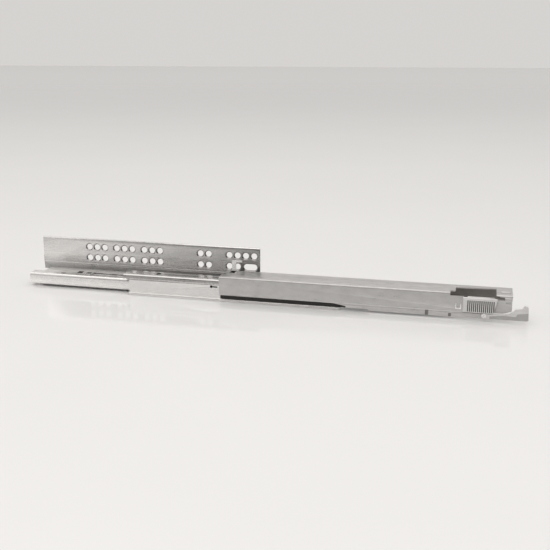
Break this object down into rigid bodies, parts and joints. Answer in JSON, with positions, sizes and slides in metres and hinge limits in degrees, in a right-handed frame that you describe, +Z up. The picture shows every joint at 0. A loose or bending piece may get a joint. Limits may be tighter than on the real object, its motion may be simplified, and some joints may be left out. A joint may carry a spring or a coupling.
{
  "type": "cabinet drawer slide",
  "caption": "Concealed full-extension undermount drawer slide with holed side bracket, ball-carried members, soft-close unit and front catch, shown open",
  "frame": {"origin": "on the bracket's wall face, level with the middle between the two rows of screw holes, at the first hole of the front group", "axes": "+X along the slide towards the cabinet's front, +Y into the cabinet's side wall, +Z up"},
  "size_m": [0.5188, 0.0481, 0.047],
  "materials": {
    "zinc_plated_sheet": "bright zinc plated, fine rolled grain",
    "drawer_member_sheet": "zinc plated, slightly duller",
    "rivet_steel": "zinc plated",
    "ball_steel": "polished hardened steel",
    "spring_steel": "drawn wire",
    "cage_plastic": "dark acetal, satin",
    "catch_grey_plastic": "moulded light grey, fine texture",
    "lever_light_plastic": "moulded pale grey, satin",
    "dark_plastic": "moulded dark grey"
  },
  "bodies": {
    "cabinet": {"cabinet_bracket": "zinc_plated_sheet", "cabinet_rail": "zinc_plated_sheet", "rail_rivet_1": "rivet_steel", "rail_rivet_2": "rivet_steel", "rail_rivet_3": "rivet_steel", "rail_rivet_4": "rivet_steel", "rail_front_stop": "dark_plastic", "soft_close_housing": "dark_plastic", "soft_close_cover": "dark_plastic", "damper_cylinder": "dark_plastic", "soft_close_spring": "spring_steel"},
    "soft_close_catch": {"catch_slider": "catch_grey_plastic", "damper_rod": "spring_steel"},
    "lower_cage_body": {"lower_cage": "cage_plastic", "lower_ball_1": "ball_steel", "lower_ball_10": "ball_steel", "lower_ball_11": "ball_steel", "lower_ball_2": "ball_steel", "lower_ball_3": "ball_steel", "lower_ball_4": "ball_steel", "lower_ball_5": "ball_steel", "lower_ball_6": "ball_steel", "lower_ball_7": "ball_steel", "lower_ball_8": "ball_steel", "lower_ball_9": "ball_steel"},
    "middle": {"middle_member": "zinc_plated_sheet", "middle_rear_stop": "dark_plastic", "middle_front_stop": "dark_plastic"},
    "upper_cage_body": {"upper_cage": "cage_plastic", "upper_ball_1": "ball_steel", "upper_ball_10": "ball_steel", "upper_ball_11": "ball_steel", "upper_ball_12": "ball_steel", "upper_ball_13": "ball_steel", "upper_ball_14": "ball_steel", "upper_ball_2": "ball_steel", "upper_ball_3": "ball_steel", "upper_ball_4": "ball_steel", "upper_ball_5": "ball_steel", "upper_ball_6": "ball_steel", "upper_ball_7": "ball_steel", "upper_ball_8": "ball_steel", "upper_ball_9": "ball_steel"},
    "drawer": {"drawer_member": "drawer_member_sheet", "drawer_rear_stop": "dark_plastic", "activator_stud": "rivet_steel", "catch_housing": "catch_grey_plastic", "lever_pivot_pin": "rivet_steel"},
    "height_adjuster_body": {"height_adjuster": "catch_grey_plastic"},
    "release_lever_body": {"release_lever": "lever_light_plastic"}
  },
  "joints": [
    {"name": "middle_slide", "type": "slide", "parent": "cabinet", "child": "middle", "axis": [1, 0, 0], "range_m": [-0.13, 0]},
    {"name": "lower_cage_slide", "type": "slide", "parent": "cabinet", "child": "lower_cage_body", "axis": [1, 0, 0], "range_m": [-0.065, 0]},
    {"name": "drawer_slide", "type": "slide", "parent": "middle", "child": "drawer", "axis": [1, 0, 0], "range_m": [-0.13, 0]},
    {"name": "upper_cage_slide", "type": "slide", "parent": "middle", "child": "upper_cage_body", "axis": [1, 0, 0], "range_m": [-0.065, 0]},
    {"name": "catch_slide", "type": "slide", "parent": "cabinet", "child": "soft_close_catch", "axis": [1, 0, 0], "range_m": [-0.04, 0], "deforming": ["soft_close_spring"]},
    {"name": "adjuster_slide", "type": "slide", "parent": "drawer", "child": "height_adjuster_body", "axis": [1, 0, 0], "range_m": [-0.006, 0]},
    {"name": "lever_hinge", "type": "hinge", "parent": "drawer", "child": "release_lever_body", "pos_m": [0.263, -0.0464, -0.0263], "axis": [0, 1, 0], "range_deg": [0, 8], "stiffness_Nm_per_rad": 0.05}
  ],
  "couplings": [
    {"joint": "lower_cage_slide", "follows": "middle_slide", "ratio": 0.5},
    {"joint": "upper_cage_slide", "follows": "drawer_slide", "ratio": 0.5}
  ]
}
